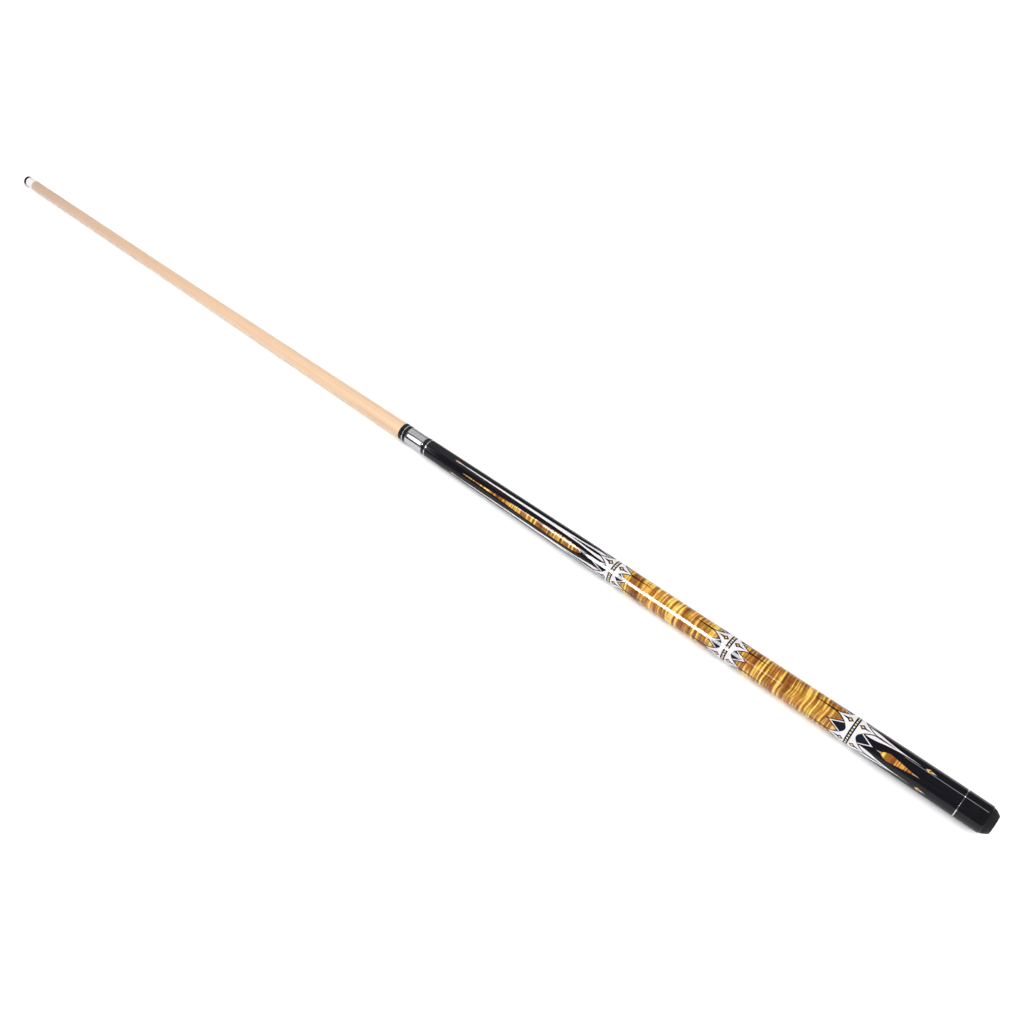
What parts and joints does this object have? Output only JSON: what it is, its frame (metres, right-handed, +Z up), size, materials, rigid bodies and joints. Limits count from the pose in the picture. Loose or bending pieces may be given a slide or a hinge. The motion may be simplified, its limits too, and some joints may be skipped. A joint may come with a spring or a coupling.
{
  "type": "pool cue",
  "caption": "Two-piece pool cue that unscrews at a steel-collared joint, with a tapered maple shaft, inlaid butt, ringed bands and a rubber bumper.",
  "frame": {"origin": "centre of the flat end of the rubber bumper, on the cue's axis", "axes": "+X along the cue's axis to the leather tip, +Z up with the cue lying level"},
  "size_m": [1.473, 0.0298, 0.0298],
  "materials": {
    "leather_tip": "pressed leather, chalk-dusted crown, fine nap",
    "tip_fibre": "vulcanised fibre, matt",
    "ferrule_white": "ivory-white resin, polished",
    "maple_shaft": "straight-grained hard maple, satin sealed",
    "maple_core": "turned maple under a stained and gloss lacquered surface",
    "black_lacquer_wood": "black stained maple under high gloss lacquer",
    "flame_maple": "honey stained curly maple under high gloss lacquer",
    "white_veneer": "pearl white, under gloss lacquer",
    "black_ring": "black phenolic, polished",
    "silver_ring": "bright silver",
    "stainless": "stainless steel, turned and polished",
    "pin_steel": "stainless steel, rolled thread",
    "brass_insert": "turned brass",
    "check_ring": "white and amber squares in black, polished",
    "zinc_steel": "plated steel, unpolished",
    "cap_black": "black resin, polished",
    "bumper_rubber": "moulded black rubber, matt"
  },
  "bodies": {
    "butt": {"joint_pin": "pin_steel", "joint_collar": "stainless", "joint_ring_black": "black_ring", "joint_ring_silver": "silver_ring", "forearm": "black_lacquer_wood", "forearm_points": "flame_maple", "band_front_checks": "check_ring", "band_front_trim": "black_ring", "stud_front": "zinc_steel", "handle_front": "flame_maple", "band_middle_checks": "check_ring", "band_middle_trim": "black_ring", "stud_middle": "zinc_steel", "handle_rear": "flame_maple", "band_rear_checks": "check_ring", "band_rear_trim": "black_ring", "stud_rear": "zinc_steel", "butt_sleeve": "black_lacquer_wood", "sleeve_spears": "flame_maple", "cap_ring_silver": "silver_ring", "butt_cap": "cap_black", "weight_bolt": "zinc_steel"},
    "thread_carrier": {"shaft_collar_silver": "silver_ring"},
    "shaft": {"cue_tip": "leather_tip", "tip_pad": "tip_fibre", "ferrule": "ferrule_white", "shaft": "maple_shaft", "shaft_collar_front": "black_ring", "shaft_collar_rear": "black_ring", "shaft_insert": "brass_insert"},
    "bumper": {"rubber_bumper": "bumper_rubber"}
  },
  "joints": [
    {"name": "shaft_feed", "type": "slide", "parent": "butt", "child": "thread_carrier", "axis": [1, 0, 0], "range_m": [0, 0.024]},
    {"name": "shaft_unscrew", "type": "hinge", "parent": "thread_carrier", "child": "shaft", "pos_m": [0.7365, 0, 0], "axis": [1, 0, 0], "range_deg": [0, 6120]},
    {"name": "bumper_pull", "type": "slide", "parent": "butt", "child": "bumper", "axis": [-1, 0, 0], "range_m": [0, 0.015]}
  ],
  "couplings": [
    {"joint": "shaft_feed", "follows": "shaft_unscrew", "m_per_rad": 0.00022459}
  ]
}
